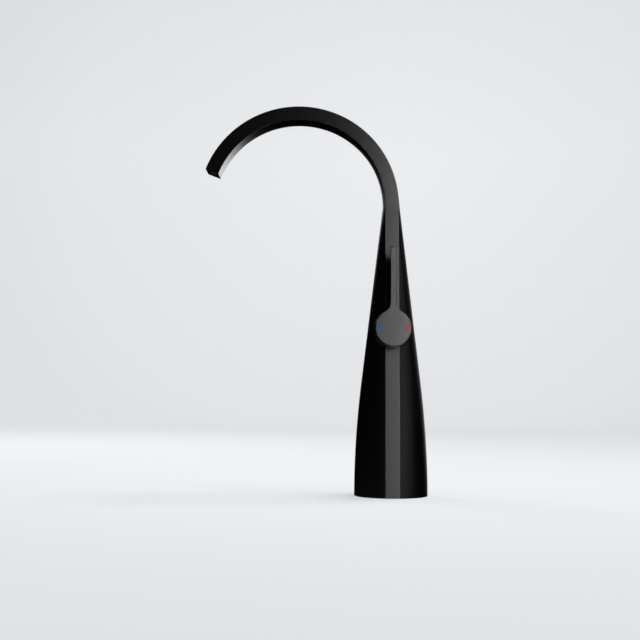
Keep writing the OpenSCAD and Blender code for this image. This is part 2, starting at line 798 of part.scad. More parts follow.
// The outlet collar is full width only above the cartridge
collar_low = cart_w / 2 + 4 * fit_gap;

module valve_block() {
    bore_w = riser_w - 2 * riser_wall;
    mouth_w = outlet_w - 2 * outlet_wall;
    color("#b08d4a") difference() {
        union() {
            at_valve() valve_rod(block_w, block_back, block_front);
            translate([-block_w / 2, -block_front, valve_z - block_drop])
                cube([block_w, block_d, block_drop]);
            translate([-block_d / 2, -block_front, valve_z]) cube([block_d, block_d, collar_h]);
            translate([0, tube_y, valve_z + collar_low]) cylinder(d = collar_w, h = collar_h - collar_low);
        }
        // Ports from the cartridge, then the upright bores that meet them
        at_valve() {
            ports(-tube_y, block_front + cut, 0);
            locating_places(fit_gap);
        }
        for (side = [1, -1]) translate([side * inlet_x, tube_y, valve_z]) {
            translate([0, 0, -block_drop - cut]) cylinder(d = bore_w, h = block_drop + port_up + cut);
            translate([0, 0, -block_drop - cut]) cylinder(d = riser_w, h = socket_d + cut);
        }
        translate([0, tube_y, valve_z - port_down]) cylinder(d = mouth_w, h = collar_h + port_down + cut);
        translate([0, tube_y, valve_z + collar_h - 2 * socket_d])
            cylinder(d = outlet_w + 2 * run_gap, h = 2 * socket_d + cut);
        tube_ring_places() cylinder(d = groove_w, h = tube_ring_w + fit_gap, center = true);
    }
}

// Two O-rings sit in grooves round the outlet tube's lower end
groove_w = outlet_w + 2 * run_gap + 2 * tube_ring_w;

module tube_ring_places() {
    for (i = [1, 2]) translate([0, tube_y, valve_z + collar_h - i * tube_ring_step]) children();
}

module tube_o_rings() {
    color("#1b1b1b") tube_ring_places() rotate_extrude()
        translate([(groove_w - tube_ring_w) / 2, 0]) circle(d = tube_ring_w - run_gap / 2, $fn = 32);
}

module riser(side) {
    translate([side * inlet_x, tube_y, foot_t - foot_socket]) difference() {
        cylinder(d = riser_w, h = riser_h);
        translate([0, 0, -cut]) cylinder(d = riser_w - 2 * riser_wall, h = riser_h + 2 * cut);
    }
}

// The riser tubes stand in sockets in the foot and end in the valve block
foot_socket = foot_t - inlet_l - foot_web;
riser_h = valve_z - block_drop + socket_d - foot_t + foot_socket;

module cold_tube() {
    color("#b87352") riser(-1);
}

module hot_tube() {
    color("#b87352") riser(1);
}

// The outlet tube rises from the block, bends forward twice to the middle and follows the spout
bend_angle = acos(1 - tube_y / 2 / tube_bend_r);
bend_h = 2 * tube_bend_r * sin(bend_angle);
outlet_low = valve_z + collar_h - 2 * socket_d + fit_gap;
bend_low = valve_z + collar_h + tube_rise;

// Ring of the tube in the plane across its way: centre c, with directions u to the side and v to the back
function tube_ring(c, u, v, w) = [
    for (i = [0:TUBE_SIDES - 1])
        let (a = 360 * i / TUBE_SIDES)
        c + w / 2 * (cos(a) * u + sin(a) * v)];

// Ring in the two bends below the neck, where the tube leans forward by an angle
function leaning_ring(y, z, lean, w) = tube_ring([0, y, z], [1, 0, 0], [0, cos(lean), sin(lean)], w);

// Round run along the tube's whole route, lengthened at both ends by more
module tube_run(w, more) {
    skin(concat(
        [leaning_ring(tube_y, outlet_low - more, 0, w)],
        [for (k = [0:BEND_RINGS])
            let (b = bend_angle * k / BEND_RINGS)
            leaning_ring(tube_y - tube_bend_r * (1 - cos(b)), bend_low + tube_bend_r * sin(b), b, w)],
        [for (k = [BEND_RINGS - 1:-1:0])
            let (b = bend_angle * k / BEND_RINGS)
            leaning_ring(tube_bend_r * (1 - cos(b)), bend_low + bend_h - tube_bend_r * sin(b), b, w)],
        [for (k = [0:TUBE_RINGS])
            let (a = (tube_end_angle + more) * k / TUBE_RINGS)
            tube_ring(on_bend([0, 0], a), [cos(a), 0, sin(a)], [0, 1, 0], w)]
    ));
}

module outlet_tube() {
    color("#dfe3e6") difference() {
        tube_run(outlet_w, 0);
        tube_run(outlet_w - 2 * outlet_wall, cut);
    }
}

module foot_insert() {
    color("#b08d4a") difference() {
        cylinder(d = foot_w, h = foot_t);
        for (side = [1, -1]) translate([side * inlet_x, tube_y, 0]) {
            translate([0, 0, -cut]) cylinder(d = inlet_w, h = inlet_l + cut);
            translate([0, 0, -cut]) cylinder(d = riser_w - 2 * riser_wall, h = foot_t + 2 * cut);
            translate([0, 0, foot_t - foot_socket]) cylinder(d = riser_w, h = foot_socket + cut);
        }
        translate([0, -stud_y, -cut]) cylinder(d = stud_w, h = foot_t + 2 * cut);
        foot_screw_places() {
            translate([0, 0, -cut]) cylinder(d = foot_screw_w + 2 * fit_gap, h = foot_t + 2 * cut);
            translate([0, 0, -cut]) cylinder(d = foot_head_w + 2 * fit_gap, h = foot_head_sink + cut);
        }
        translate([0, 0, -cut]) difference() {
            cylinder(d = gasket_out_w, h = gasket_t + cut);
            cylinder(d = gasket_in_w, h = gasket_t + cut);
        }
    }
}

module foot_screws() {
    screw_l = foot_t + ledge_t - foot_head_sink;
    color("#a9abae") foot_screw_places() translate([0, 0, foot_head_sink - foot_head_h]) difference() {
        union() {
            cylinder(d = foot_head_w, h = foot_head_h);
            cylinder(d = foot_screw_w, h = foot_head_h + screw_l - fit_gap);
        }
        translate([0, 0, -cut]) cylinder(d = hex_w, h = foot_head_h / 2 + cut, $fn = 6);
    }
}

module deck_gasket() {
    color("#1b1b1b") difference() {
        cylinder(d = gasket_out_w - 2 * run_gap, h = gasket_t);
        translate([0, 0, -cut]) cylinder(d = gasket_in_w + 2 * run_gap, h = gasket_t + 2 * cut);
    }
}

body_shell();
spout_shell();
aerator_frame();
aerator_grid();
aerator_seal();
lever_handle();
cold_mark();
hot_mark();
handle_set_screw();
spindle();
spindle_pin();
rotor();
rotor_o_ring();
stop_ring();
cartridge_bonnet();
cartridge_nut();
cartridge_housing();
disc_carrier();
moving_disc();
fixed_disc();
cartridge_base();
cartridge_seals();
valve_block();
cold_tube();
hot_tube();
outlet_tube();
tube_o_rings();
foot_insert();
foot_screws();
deck_gasket();
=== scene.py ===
"""Looks of the single-lever basin mixer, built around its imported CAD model.

Metres, +Z up, the lever towards -Y and the spout towards -X. Finer shells stand in for four of the
CAD's nodes, repeat its lengths and add small roundings. All other pieces are the CAD's own meshes
with new materials.
"""

import json
import math

import bmesh
import bpy
from mathutils import Euler, Matrix, Vector


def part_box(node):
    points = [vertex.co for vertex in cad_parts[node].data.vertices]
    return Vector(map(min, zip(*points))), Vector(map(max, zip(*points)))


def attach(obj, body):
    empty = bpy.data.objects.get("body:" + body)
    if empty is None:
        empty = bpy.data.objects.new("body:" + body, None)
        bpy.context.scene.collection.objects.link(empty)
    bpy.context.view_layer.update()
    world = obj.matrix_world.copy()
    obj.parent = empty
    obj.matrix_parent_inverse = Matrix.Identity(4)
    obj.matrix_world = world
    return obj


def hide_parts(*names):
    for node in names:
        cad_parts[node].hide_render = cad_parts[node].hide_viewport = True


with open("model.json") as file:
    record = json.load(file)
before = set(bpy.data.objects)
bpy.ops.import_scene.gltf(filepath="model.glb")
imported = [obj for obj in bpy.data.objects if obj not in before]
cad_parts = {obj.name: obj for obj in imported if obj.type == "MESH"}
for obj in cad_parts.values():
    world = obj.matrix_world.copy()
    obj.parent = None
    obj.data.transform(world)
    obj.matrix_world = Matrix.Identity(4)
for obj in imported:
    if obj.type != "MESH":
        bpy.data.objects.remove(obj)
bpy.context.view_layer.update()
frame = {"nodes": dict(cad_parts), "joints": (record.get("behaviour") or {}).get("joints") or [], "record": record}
JOINTS = {joint["name"]: joint for joint in frame["joints"]}
QUARTER = math.pi / 2
# Length too small to be seen, for shapes and comparisons that need one, and the distance up to
# which points are merged
TINY = 1e-6
MERGE = 1e-7

# Body and spout, as in the CAD
FIT_GAP = 0.0001
BASE_R = 0.029
BODY_H = 0.230
FLARE_H = 0.088
NECK_R = 0.0068
STRIP_R = 0.0055
RIBBON_R = 0.0055
NECK_HALF_D = 0.0105
SPOUT_R = 0.0745
SPOUT_SWEEP = 159.0
INNER_FADE = 85.0
RIBBON_CROWN = 0.0001
NECK_BULGE = NECK_R - RIBBON_R
BODY_SLOPE = (BASE_R - NECK_R) / (BODY_H - FLARE_H / 2)
OUTER_FADE = math.degrees(2 * NECK_BULGE / (BODY_SLOPE * SPOUT_R))
FOOT_T = 0.012
FOOT_R = 0.0264
# Slot in the spout's end, square to the bend's line at the middle of the outlet insert
AERATOR_L = 0.0086
AERATOR_SEAL_T = 0.0012
AERATOR_ANGLE = SPOUT_SWEEP - math.degrees((AERATOR_L + AERATOR_SEAL_T) / 2 / SPOUT_R)
SLOT_R = 0.0036
SLOT_HALF_D = 0.0088
SLOT_START = -AERATOR_L / 2 - AERATOR_SEAL_T - FIT_GAP

# Valve and lever, as in the CAD. Distances along the valve's axis count outwards from the body's
# centre
VALVE_Z = JOINTS["flow_lift"]["pos_m"][2]
PIN_OUT = -JOINTS["flow_lift"]["pos_m"][1]
LIFT_MAX = math.radians(JOINTS["flow_lift"]["range_deg"][1])
BOSS_R = 0.0148
BOSS_OUT = -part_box("cartridge_bonnet")[1].y
BONNET_T = 0.0008
BONNET_HOLE_R = 0.0072
DOME_R = 0.0116
DISC_R = 0.014
LEVER_OUT = -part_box("lever_handle")[0].y
LEVER_RIM_T = 0.0055
HUB_FLAT_R = 0.007
HOLLOW_R = 0.012
STEM_H = 0.063
STEM_R = 0.00225
STEM_T = 0.0032
STEM_FILLET_R = 0.009
STEM_CHAMFER = 0.0012
MARK_GAP = 0.00005
# The CAD's chamfer on the disc's front edge is rounded here, and so is the disc's back edge
DISC_EDGE = 0.0004

# Small forms that only the looks have: the rounded edges of the section, base, spout's end and
# slot, with the slot's wider lip, and of the stem and bonnet
EDGE_R = 0.00025
BASE_EDGE = 0.0005
TIP_EDGE = 0.00045
SLOT_EDGE = 0.0003
SLOT_LIP = 0.0002
STEM_EDGE = 0.0003
BONNET_EDGE = 0.0002
# Radii that differ from the CAD's: the bonnet's is 0.1 mm less, and the boss's bore has 0.05 mm more
BONNET_R = BOSS_R - 2 * FIT_GAP
BOSS_BORE_R = 0.0133
# Boss: its rounded rim, and the hollow corner where it meets the cone, with its least size
BOSS_EDGE = 0.0003
BOSS_BLEND = 0.0012
BOSS_BLEND_MIN = 0.00002
# Hidden below the body's skin: the depths of the corner's foot, of the ledge under that and of the
# boss's root, and how much narrower the root is than the boss
BOSS_FOOT_SINK = 0.00001
BOSS_LEDGE = 0.0002
BOSS_ROOT = 0.003
BOSS_TAPER = 0.001
# Length by which cutting prisms reach past the faces that they cut
CUT = 0.001

# Steps along the curves
BODY_STEPS = 90
SPOUT_STEPS = 120
SIDE_STEPS = 20
CORNER_STEPS = 4
FLAT_STEPS = 4
BASE_EDGE_STEPS = 3
EDGE_STEPS = 4
BOSS_STEPS = 160
BOSS_EDGE_STEPS = 3
BLEND_STEPS = 6
LATHE_STEPS = 128
DOME_STEPS = 12
DOME_INNER_STEPS = 8
DISC_STEPS = 96
DISC_TOP_STEPS = 24
HOLLOW_STEPS = 8
FILLET_STEPS = 14
STEM_STEPS = 12
MARK_STEPS = 16
SCREW_STEPS = 48
# Points of the stem's outline over which the rounding of its back edge grows to its full size
STEM_EDGE_RUN = 8
# Degrees past which a corner stays sharp
CAST_SHARP = 50
LEVER_SHARP = 30


# Points, faces and meshes


def spaced(start, end, steps):
    """Values from start to end in even steps, both included."""
    return [start + (end - start) * k / steps for k in range(steps + 1)]


def turns(steps):
    """Angles evenly round a full circle."""
    return [2 * math.pi * k / steps for k in range(steps)]


def mix(a, b, share):
    """Value a share of the way from a to b."""
    return a * (1 - share) + b * share


def plain_object(name, verts, faces, material=None):
    """Mesh object from points and faces, in the scene."""
    mesh = bpy.data.meshes.new(name)
    mesh.from_pydata([tuple(v) for v in verts], [], faces)
    if material:
        mesh.materials.append(material)
    obj = bpy.data.objects.new(name, mesh)
    bpy.context.scene.collection.objects.link(obj)
    return obj


def closed_object(name, verts, faces, material=None):
    """Smooth closed piece, with shared points merged and all faces turned outwards."""
    obj = plain_object(name, verts, faces, material)
    work = bmesh.new()
    work.from_mesh(obj.data)
    bmesh.ops.remove_doubles(work, verts=work.verts, dist=MERGE)
    bmesh.ops.recalc_face_normals(work, faces=work.faces)
    work.to_mesh(obj.data)
    work.free()
    obj.data.shade_smooth()
    return obj


def loft(rings, closed=False):
    """Points and quads between rings. A closed loft joins the last ring to the first."""
    n = len(rings[0])
    verts = [p for ring in rings for p in ring]
    faces = []
    for k in range(len(rings) if closed else len(rings) - 1):
        here, there = k * n, (k + 1) % len(rings) * n
        for i in range(n):
            j = (i + 1) % n
            faces.append((here + i, here + j, there + j, there + i))
    return verts, faces


def strip(rows):
    """Points and quads between rows that don't close on themselves."""
    n = len(rows[0])
    verts = [p for row in rows for p in row]
    faces = [(k * n + i, k * n + i + 1, (k + 1) * n + i + 1, (k + 1) * n + i)
             for k in range(len(rows) - 1) for i in range(n - 1)]
    return verts, faces


def cap(points):
    """One face over points in their order."""
    return points, [tuple(range(len(points)))]


def prism(outline, place, low, high):
    """Closed prism between two heights, over an outline that a function places."""
    n = len(outline)
    verts = [place(x, y, height) for height in (low, high) for x, y in outline]
    faces = [(i, (i + 1) % n, n + (i + 1) % n, n + i) for i in range(n)]
    return verts, faces + [tuple(range(n)), tuple(range(n, 2 * n))]


def joined(patches):
    """One list of points and faces from several patches, whose shared points are merged later."""
    verts, faces = [], []
    for patch_verts, patch_faces in patches:
        faces += [tuple(i + len(verts) for i in face) for face in patch_faces]
        verts += patch_verts
    return verts, faces


def apply(obj):
    """Puts the modifiers' result into the piece's own mesh."""
    bpy.context.view_layer.update()
    shaped = obj.evaluated_get(bpy.context.evaluated_depsgraph_get())
    made = bpy.data.meshes.new_from_object(shaped)
    obj.modifiers.clear()
    obj.data = made


def cut(obj, cutters):
    """Cuts closed prisms out of a closed piece."""
    tool = closed_object("tool", *joined(cutters))
    change = obj.modifiers.new("cut", "BOOLEAN")
    change.operation, change.solver, change.object = "DIFFERENCE", "EXACT", tool
    apply(obj)
    bpy.data.objects.remove(tool)


def soften(obj, angle):
    """Keeps corners past an angle sharp, and lets large faces set the shading at rounded edges."""
    obj.data.shade_smooth()
    obj.data.set_sharp_from_angle(angle=math.radians(angle))
    weigh = obj.modifiers.new("weigh", "WEIGHTED_NORMAL")
    weigh.keep_sharp = True


# Body and spout


def half_w(z):
    """Half width of the body at a height. Its sides start upright and curve into the cone."""
    if z < FLARE_H:
        return BASE_R - BODY_SLOPE * z * z / (2 * FLARE_H)
    return BASE_R - BODY_SLOPE * (z - FLARE_H / 2)


def half_d(z):
    """Half depth of the body at a height."""
    base_half_d = math.sqrt(BASE_R ** 2 - STRIP_R ** 2)
    return NECK_HALF_D + (base_half_d - NECK_HALF_D) * (half_w(z) - NECK_R) / (BASE_R - NECK_R)


def half_strip(z):
    """Half width of the flat front strip at a height."""
    return STRIP_R + (RIBBON_R - STRIP_R) * z / BODY_H


def outer_half(angle):
    """Half width of the ribbon on the outer side of the bend."""
    fade = max(1 - angle / OUTER_FADE, 0) ** 2
    return RIBBON_R + max(NECK_BULGE * fade, RIBBON_CROWN)


def inner_half(angle):
    """Half width of the ribbon on the inner side of the bend."""
    fade = math.cos(math.radians(90 * angle / INNER_FADE)) ** 2 if angle < INNER_FADE else 0.0
    return RIBBON_R + max(NECK_BULGE * fade, RIBBON_CROWN)


def section_side(w, d, e, edge):
    """One side of a section, from the middle of the front flat to the back's, corners rounded."""
    tangent = Vector(((w * w - e * e) / e, d))
    turn = math.atan2(tangent.y, tangent.x)
    trim = min(edge * math.tan(turn / 2), e / 2)
    points = [(x, -d) for x in spaced(0, e - trim, FLAT_STEPS)[:-1]]
    points += [(e - trim + edge * math.sin(a), -d + edge * (1 - math.cos(a)))
               for a in spaced(0, turn, CORNER_STEPS)]
    # Along the ellipse, with points that crowd towards the corner
    start = 1 - trim / tangent.length
    spread = math.radians(80)
    for k in range(1, SIDE_STEPS + 1):
        v = -start * math.sin(spread * (1 - k / SIDE_STEPS)) / math.sin(spread)
        points.append((math.sqrt(max(w * w - v * v * (w * w - e * e), 0)), d * v))
    return points + [(x, -y) for x, y in reversed(points[:-1])]


def section(right, left, d, e, edge=EDGE_R):
    """Closed section, anticlockwise seen from above, with the half widths right and left."""
    mirrored = [(-x, y) for x, y in reversed(section_side(left, d, e, edge)[1:-1])]
    return section_side(right, d, e, edge) + mirrored


def body_section(z, inset=0.0):
    w = half_w(z) - inset
    return section(w, w, half_d(z) - inset, half_strip(z))


def body_ring(z, inset=0.0):
    return [Vector((x, y, z)) for x, y in body_section(z, inset)]


def on_bend(x, y, angle):
    """Point of a section that stands on the bend at an angle."""
    a = math.radians(angle)
    r = SPOUT_R + x
    return Vector((-SPOUT_R + r * math.cos(a), y, BODY_H + r * math.sin(a)))


def in_slot(x, y, along):
    """Point in the slot's straight frame, along the water's way."""
    a = math.radians(AERATOR_ANGLE)
    return on_bend(x, y, AERATOR_ANGLE) + along * Vector((-math.sin(a), 0, math.cos(a)))


def slot_mouth(x):
    """Distance along the slot at which it meets the spout's cut end."""
    return (SPOUT_R + x) * math.tan(math.radians(SPOUT_SWEEP - AERATOR_ANGLE))


def foot_rings(n):
    """Recess for the foot, from a small ring in its ceiling to its rim on the deck."""
    ceiling_share = 0.3
    return [[Vector((share * FOOT_R * math.sin(a), -share * FOOT_R * math.cos(a), z))
             for a in turns(n)]
            for share, z in ((ceiling_share, FOOT_T), (1, FOOT_T), (1, 0))]


def body_rings():
    """Body from its rounded lower edge up to the bend."""
    rings = [body_ring(BASE_EDGE * (1 - math.cos(a)), BASE_EDGE * (1 - math.sin(a)))
             for a in spaced(0, QUARTER, BASE_EDGE_STEPS)]
    return rings + [body_ring(z) for z in spaced(BASE_EDGE, BODY_H, BODY_STEPS)[1:-1]]


def spout_rings():
    """Spout from the neck to its rounded end."""
    tip_angle = math.degrees(TIP_EDGE / SPOUT_R)
    rings = [[on_bend(x, y, a)
              for x, y in section(outer_half(a), inner_half(a), NECK_HALF_D, RIBBON_R)]
             for a in spaced(0, SPOUT_SWEEP - tip_angle, SPOUT_STEPS)]
    tip_r = RIBBON_R + RIBBON_CROWN
    for turn in spaced(0, QUARTER, EDGE_STEPS)[1:]:
        inset = TIP_EDGE * (1 - math.cos(turn))
        a = SPOUT_SWEEP - tip_angle * (1 - math.sin(turn))
        rings.append([on_bend(x * (1 - inset / tip_r), y * (1 - inset / NECK_HALF_D), a)
                      for x, y in section(tip_r, tip_r, NECK_HALF_D, RIBBON_R)])
    return rings


def slot_rings():
    """Slot from its wider lip in the spout's cut end to its blind end."""
    slot = section(SLOT_R + TINY, SLOT_R + TINY, SLOT_HALF_D, SLOT_R, SLOT_EDGE)
    wide = [(x * (1 + SLOT_LIP / SLOT_R), y * (1 + SLOT_LIP / SLOT_HALF_D)) for x, y in slot]
    return [[in_slot(x, y, slot_mouth(x)) for x, y in wide],
            [in_slot(x, y, slot_mouth(x) - SLOT_LIP) for x, y in slot],
            [in_slot(x, y, SLOT_START) for x, y in slot]]


def mixer_shell(material):
    """Cone body and ribbon spout as one coated skin, with the foot's recess and the end's slot."""
    n = len(body_section(0))
    verts, faces = loft(foot_rings(n) + body_rings() + spout_rings() + slot_rings())
    faces.append(tuple(range(n)))
    faces.append(tuple(range(len(verts) - n, len(verts))))
    obj = closed_object("mixer_shell", verts, faces, material)
    soften(obj, CAST_SHARP)
    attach(obj, "root")
    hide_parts("body_shell", "spout_shell")


# Valve boss and bonnet


def valve_point(x, up, out):
    """Point given across, above and outwards along the valve's axis."""
    return Vector((x, -out, VALVE_Z + up))


def body_front(x, z):
    """How far the body's skin lies in front of its centre at a point beside the middle."""
    w, d, e = half_w(z), half_d(z), half_strip(z)
    if abs(x) <= e:
        return d
    return d * math.sqrt(max((w * w - x * x) / (w * w - e * e), 0))


def boss_profile(c, s):
    """Boss's closed section in a direction, as radius and outward distance."""
    def skin(r):
        return body_front(r * c, VALVE_Z + r * s)

    foot = skin(BOSS_R)
    grow = min(BOSS_BLEND, max(BOSS_OUT - BOSS_EDGE - foot, BOSS_BLEND_MIN))
    profile = [(BOSS_BORE_R, skin(BOSS_BORE_R) - BOSS_ROOT), (BOSS_BORE_R, BOSS_OUT)]
    profile += [(BOSS_R - BOSS_EDGE + BOSS_EDGE * math.sin(t),
                 BOSS_OUT - BOSS_EDGE + BOSS_EDGE * math.cos(t))
                for t in spaced(0, QUARTER, BOSS_EDGE_STEPS)]
    top, corner = Vector((BOSS_R, foot + grow)), Vector((BOSS_R, foot))
    low = Vector((BOSS_R + grow, skin(BOSS_R + grow) - BOSS_FOOT_SINK))
    for t in spaced(0, 1, BLEND_STEPS):
        profile.append(tuple(top * (1 - t) ** 2 + corner * 2 * t * (1 - t) + low * t * t))
    return profile + [(BOSS_R + grow, low.y - BOSS_LEDGE), (BOSS_R - BOSS_TAPER, foot - BOSS_ROOT)]


def valve_boss(material):
    """Round boss on the body's front, with a small hollow corner where it meets the cone."""
    rings = []
    for a in turns(BOSS_STEPS):
        c, s = math.cos(a), math.sin(a)
        rings.append([valve_point(r * c, r * s, out) for r, out in boss_profile(c, s)])
    obj = closed_object("valve_boss", *loft(rings, closed=True), material)
    soften(obj, CAST_SHARP)
    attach(obj, "root")


def bonnet(material):
    """Thin cover ring with a low dome round the hinge pin."""
    flat = BOSS_OUT + BONNET_T
    meet = math.sqrt(DOME_R ** 2 - (flat - PIN_OUT) ** 2)
    profile = [(BONNET_R, BOSS_OUT), (BONNET_R, flat - BONNET_EDGE),
               (BONNET_R - BONNET_EDGE, flat), (meet + 2 * BONNET_EDGE, flat)]
    start, end = math.acos((flat - PIN_OUT) / DOME_R), math.asin(BONNET_HOLE_R / DOME_R)
    profile += [(DOME_R * math.sin(a), PIN_OUT + DOME_R * math.cos(a))
                for a in spaced(start, end, DOME_STEPS)[1:]]
    inner_r = DOME_R - BONNET_T
    high, low = math.asin(BONNET_HOLE_R / inner_r), math.acos((BOSS_OUT - PIN_OUT) / inner_r)
    profile += [(inner_r * math.sin(a), PIN_OUT + inner_r * math.cos(a))
                for a in spaced(high, low, DOME_INNER_STEPS)]
    rings = [[valve_point(r * math.cos(a), r * math.sin(a), out) for r, out in profile]
             for a in turns(LATHE_STEPS)]
    obj = closed_object("bonnet", *loft(rings, closed=True), material)
    soften(obj, CAST_SHARP)
    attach(obj, "root")
    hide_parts("cartridge_bonnet")


# Lever


def lever_outline(inset=0.0):
    """Front outline of the disc and then the stem, drawn in by an inset."""
    fillet_x = STEM_R + STEM_FILLET_R
    fillet_y = math.sqrt((DISC_R + STEM_FILLET_R) ** 2 - fillet_x ** 2)
    touch = math.atan2(fillet_y, fillet_x)
    disc = []
    for k in range(DISC_STEPS + 1):
        a = touch - (math.pi + 2 * touch) * k / DISC_STEPS
        disc.append(((DISC_R - inset) * math.cos(a), (DISC_R - inset) * math.sin(a)))
    left = []
    for k in range(1, FILLET_STEPS + 1):
        a = touch * (1 - k / FILLET_STEPS)
        left.append((-fillet_x + (STEM_FILLET_R + inset) * math.cos(a),
                     fillet_y - (STEM_FILLET_R + inset) * math.sin(a)))
    left += [(inset - STEM_R, y) for y in spaced(fillet_y, STEM_H - inset, STEM_STEPS)[1:]]
    return disc + left + [(-x, y) for x, y in reversed(left)]


def on_disc(outline):
    """Part of an outline that runs round the disc."""
    return outline[:DISC_STEPS + 1]


def on_stem(outline):
    """Part of an outline that runs round the stem, from the disc back to the disc."""
    return outline[DISC_STEPS:] + outline[:1]


def disc_top():
    """Points of the disc's circle behind the stem, between the outline's ends."""
    first = on_disc(lever_outline())[0]
    touch = math.atan2(first[1], first[0])
    top = []
    for k in range(1, DISC_TOP_STEPS):
        a = math.pi - touch - (math.pi - 2 * touch) * k / DISC_TOP_STEPS
        top.append((DISC_R * math.cos(a), DISC_R * math.sin(a)))
    return top


def stem_slope(y):
    """Depth that the chamfer on the stem's end adds at a height."""
    return max(0.0, y - (STEM_H - STEM_CHAMFER))


def lever_front():
    """Rounded front edge, the flat face and the chamfer's face, which closes the stem's end."""
    rows = []
    for t in spaced(0, QUARTER, EDGE_STEPS):
        inset, depth = DISC_EDGE * (1 - math.sin(t)), DISC_EDGE * (1 - math.cos(t))
        rows.append([valve_point(x, y, LEVER_OUT - depth - stem_slope(y))
                     for x, y in lever_outline(inset)])
    front, n = rows[0], len(rows[0])
    ends = [i for i, (x, y) in enumerate(lever_outline(DISC_EDGE))
            if y > STEM_H - STEM_CHAMFER + TINY]
    before, after = (ends[0] - 1) % n, (ends[-1] + 1) % n
    return [loft(rows), cap([front[i] for i in range(n) if i not in ends]),
            cap([front[i] for i in (before, *ends, after)])]


def lever_disc():
    """Rim of the disc beside the stem's thickness, then all round it, and the coned hollow back."""
    disc = on_disc(lever_outline())
    rim = [[valve_point(x, y, LEVER_OUT - depth) for x, y in disc]
           for depth in (DISC_EDGE, STEM_T)]
    rim_out = LEVER_OUT - LEVER_RIM_T
    cone_out = rim_out - (DISC_R - HUB_FLAT_R) * math.tan(LIFT_MAX)
    hollow_end_r = 0.0001
    hollow_edge = math.acos((cone_out - PIN_OUT) / HOLLOW_R)
    # Share of the disc's radius and outward distance of each ring
    profile = [(1.0, LEVER_OUT - STEM_T)]
    profile += [(1 - DISC_EDGE * (1 - math.cos(t)) / DISC_R,
                 rim_out + DISC_EDGE * (1 - math.sin(t))) for t in spaced(0, QUARTER, EDGE_STEPS)]
    profile += [(HUB_FLAT_R / DISC_R, cone_out)]
    profile += [(HOLLOW_R * math.sin(a) / DISC_R, PIN_OUT + HOLLOW_R * math.cos(a))
                for a in spaced(hollow_edge, math.asin(hollow_end_r / HOLLOW_R), HOLLOW_STEPS)]
    rings = [[valve_point(x * share, y * share, out) for x, y in disc + disc_top()]
             for share, out in profile]
    return [strip(rim), loft(rings), cap(rings[-1])]


def lever_stem():
    """Sides and back of the stem, whose back edges round over more and more away from the disc."""
    stem = on_stem(lever_outline())
    last = len(stem) - 1
    grow = [min(1.0, min(k, last - k) / STEM_EDGE_RUN) * STEM_EDGE for k in range(last + 1)]
    rows = [[valve_point(x, y, LEVER_OUT - DISC_EDGE - stem_slope(y)) for x, y in stem]]
    for t in spaced(0, QUARTER, EDGE_STEPS):
        row = []
        for k, edge in enumerate(grow):
            x, y = on_stem(lever_outline(edge * (1 - math.cos(t))))[k]
            row.append(valve_point(x, y, LEVER_OUT - STEM_T + edge * (1 - math.sin(t))))
        rows.append(row)
    back = [valve_point(x, y, LEVER_OUT - STEM_T) for x, y in reversed(disc_top())]
    return [strip(rows), cap(rows[-1] + back)]


def mark_cutter(node):
    """Pocket for a temperature mark, as far from its edges as the CAD's."""
    low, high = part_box(node)
    r = (high.x - low.x) / 2 + MARK_GAP
    x0, y0 = (low.x + high.x) / 2, (high.z - low.z) / 2 + MARK_GAP - r
    outline = [(x0 + end * r * math.cos(a), end * y0 + end * r * math.sin(a))
               for end in (1, -1) for a in spaced(0, math.pi, MARK_STEPS)]
    return prism(outline, valve_point, -high.y, LEVER_OUT + CUT)


def screw_cutter():
    """Hole for the set screw in the disc's lower rim."""
    low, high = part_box("handle_set_screw")
    r = (high.x - low.x) / 2 + MARK_GAP
    out = -(low.y + high.y) / 2
    outline = [(r * math.cos(a), r * math.sin(a)) for a in turns(SCREW_STEPS)]
    return prism(outline, lambda x, y, z: valve_point(x, z, out + y), -DISC_R - CUT,
                 high.z - VALVE_Z)


def lever_body(material):
    """Disc with a hollow back and an upright stem, edges rounded, holes for the marks and screw."""
    patches = lever_front() + lever_disc() + lever_stem()
    obj = closed_object("lever_body", *joined(patches), material)
    cut(obj, [mark_cutter("cold_mark"), mark_cutter("hot_mark"), screw_cutter()])
    soften(obj, LEVER_SHARP)
    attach(obj, "lever")
    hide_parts("lever_handle")


# Materials


# Enamel that mirrors little of the light which the black coat mirrors
FLAT_ENAMEL = {"Specular IOR Level": 0.1}
